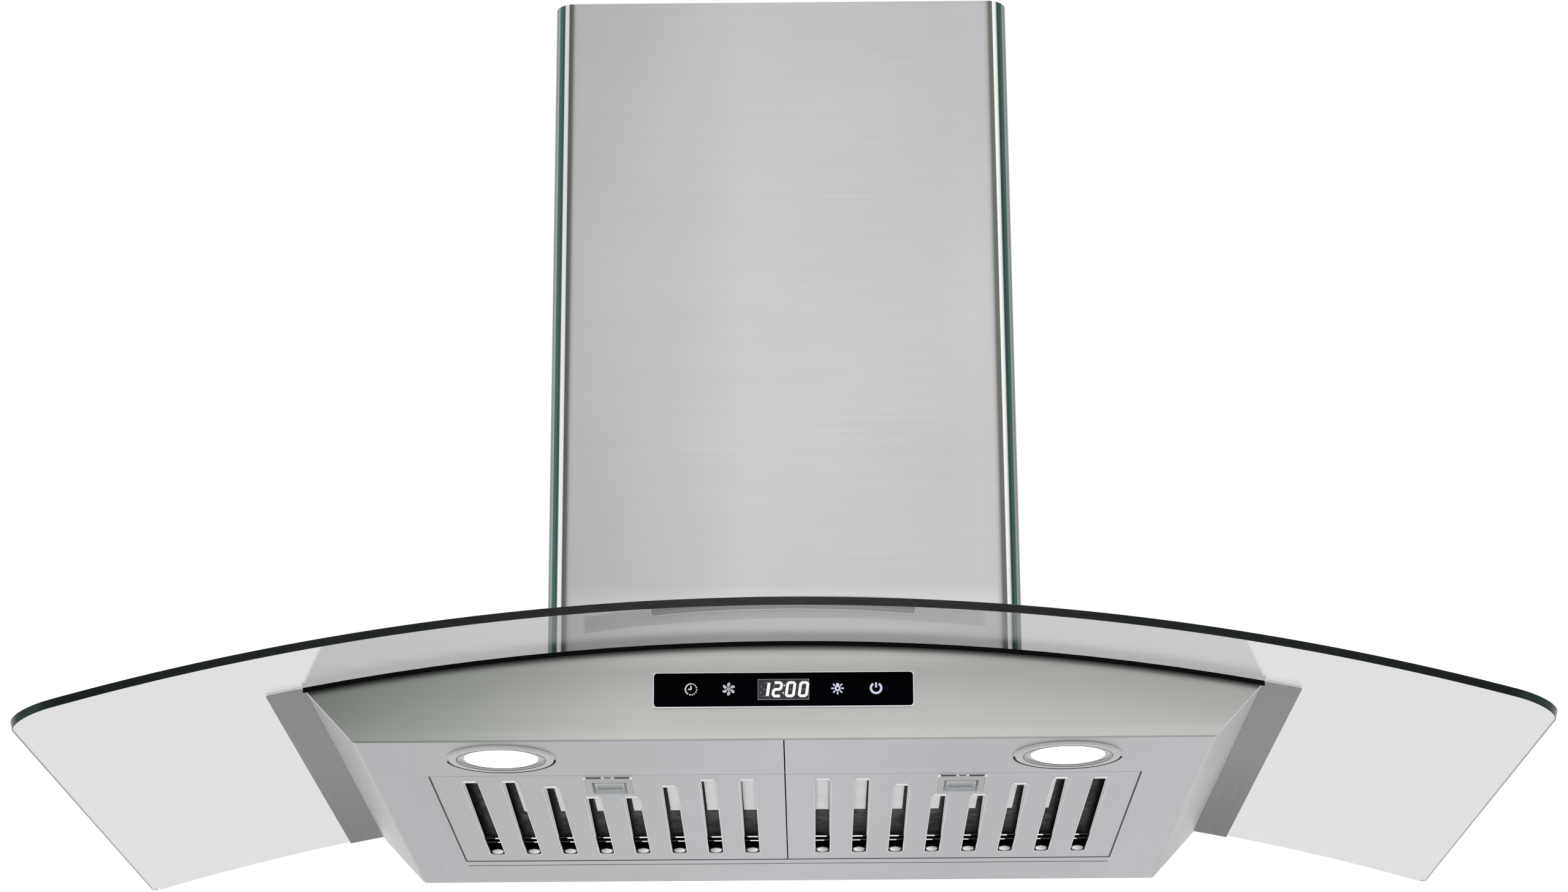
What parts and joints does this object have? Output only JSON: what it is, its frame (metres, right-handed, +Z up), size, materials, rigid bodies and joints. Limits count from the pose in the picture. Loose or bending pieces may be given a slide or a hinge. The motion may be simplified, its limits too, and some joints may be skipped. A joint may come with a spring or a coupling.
{
  "type": "wall mount range hood",
  "caption": "Wall mount range hood with an arched glass canopy, brushed steel body, baffle filters, touch control, two downlights and a telescoping chimney.",
  "frame": {"origin": "centre of the four wall fixing holes, on the wall plane", "axes": "+X to the right seen from the front, +Y into the wall, +Z up; the front faces -Y"},
  "size_m": [0.9, 0.5, 0.5475],
  "materials": {
    "brushed_steel": "stainless sheet, brushed across the front, satin",
    "cover_steel": "stainless sheet, brushed across, satin, rounded corners polished",
    "zinc_steel": "zinc-coated sheet with a faint spangle, semi-matt",
    "canopy_glass": "clear tempered float glass, polished edges with a dark green tint",
    "black_rubber": "black foam rubber, matt",
    "bezel_aluminium": "satin anodised, bright edge",
    "touch_glass": "black back-printed glass, gloss, white and blue lit symbols",
    "display": "smoked display window with white lit digits",
    "circuit_board": "green solder mask",
    "satin_ring": "satin nickel, turned",
    "lit_lens": "frosted lens, lit",
    "cast_aluminium": "bare cast aluminium, satin",
    "bright_steel": "bright zinc-plated steel",
    "pale_plastic": "off-white moulded plastic",
    "black_plastic": "black moulded plastic, fine texture",
    "latch_silver": "silver moulded plastic, satin",
    "black_enamel": "black enamelled steel sheet, semi-gloss",
    "motor_grey": "grey painted motor can, semi-gloss"
  },
  "bodies": {
    "root": {"front_fascia": "brushed_steel", "left_side_panel": "brushed_steel", "right_side_panel": "brushed_steel", "left_lamp_panel": "brushed_steel", "right_lamp_panel": "brushed_steel", "rear_panel": "brushed_steel", "rear_ledge": "brushed_steel", "chimney_lower": "cover_steel", "front_rail": "zinc_steel", "body_back": "zinc_steel", "top_deck": "zinc_steel", "wall_plate": "zinc_steel", "blower_box": "zinc_steel", "chimney_bracket": "zinc_steel", "cover_brackets": "zinc_steel", "motor_bracket": "zinc_steel", "glass_canopy": "canopy_glass", "glass_gasket": "black_rubber", "glass_washers": "black_rubber", "control_bezel": "bezel_aluminium", "control_glass": "touch_glass", "clock_display": "display", "touch_board": "circuit_board", "left_lamp_ring": "satin_ring", "right_lamp_ring": "satin_ring", "left_lamp_lens": "lit_lens", "right_lamp_lens": "lit_lens", "left_lamp_can": "cast_aluminium", "right_lamp_can": "cast_aluminium", "glass_screws": "bright_steel", "cover_screws": "bright_steel", "lamp_clips": "bright_steel", "lamp_driver": "pale_plastic", "capacitor": "pale_plastic", "control_box": "black_plastic", "junction_box": "black_plastic", "cable_gland": "black_plastic", "duct_collar": "black_plastic", "blower_scroll": "black_enamel", "inlet_rings": "black_enamel", "fan_motor": "motor_grey"},
    "left_filter": {"left_filter_face": "brushed_steel", "left_filter_baffle": "zinc_steel", "left_latch_body": "latch_silver", "left_latch_spring": "bright_steel"},
    "left_latch": {"left_latch_slider": "latch_silver"},
    "right_filter": {"right_filter_face": "brushed_steel", "right_filter_baffle": "zinc_steel", "right_latch_body": "latch_silver", "right_latch_spring": "bright_steel"},
    "right_latch": {"right_latch_slider": "latch_silver"},
    "fan": {"impeller": "black_enamel", "fan_shaft": "bright_steel"},
    "left_flap": {"left_damper_flap": "cast_aluminium"},
    "right_flap": {"right_damper_flap": "cast_aluminium"},
    "upper_cover": {"chimney_upper": "cover_steel"}
  },
  "joints": [
    {"name": "left_filter_hinge", "type": "hinge", "parent": "root", "child": "left_filter", "pos_m": [-0.1104, -0.0732, -0.2], "axis": [1, 0, 0], "range_deg": [0, 75]},
    {"name": "right_filter_hinge", "type": "hinge", "parent": "root", "child": "right_filter", "pos_m": [0.1104, -0.0732, -0.2], "axis": [1, 0, 0], "range_deg": [0, 75]},
    {"name": "left_latch_slide", "type": "slide", "parent": "left_filter", "child": "left_latch", "axis": [0, 1, 0], "range_m": [0, 0.006], "stiffness_N_per_m": 200, "springref_m": -0.008, "deforming": ["left_latch_spring"]},
    {"name": "right_latch_slide", "type": "slide", "parent": "right_filter", "child": "right_latch", "axis": [0, 1, 0], "range_m": [0, 0.006], "stiffness_N_per_m": 200, "springref_m": -0.008, "deforming": ["right_latch_spring"]},
    {"name": "fan_spin", "type": "hinge", "parent": "root", "child": "fan", "pos_m": [0, -0.112, -0.025], "axis": [1, 0, 0], "continuous": true},
    {"name": "left_flap_hinge", "type": "hinge", "parent": "root", "child": "left_flap", "pos_m": [-0.0034, -0.16, 0.125], "axis": [0, 1, 0], "range_deg": [0, 75]},
    {"name": "right_flap_hinge", "type": "hinge", "parent": "root", "child": "right_flap", "pos_m": [0.0034, -0.16, 0.125], "axis": [0, -1, 0], "range_deg": [0, 75]},
    {"name": "upper_cover_slide", "type": "slide", "parent": "root", "child": "upper_cover", "axis": [0, 0, 1], "range_m": [0, 0.35]}
  ]
}
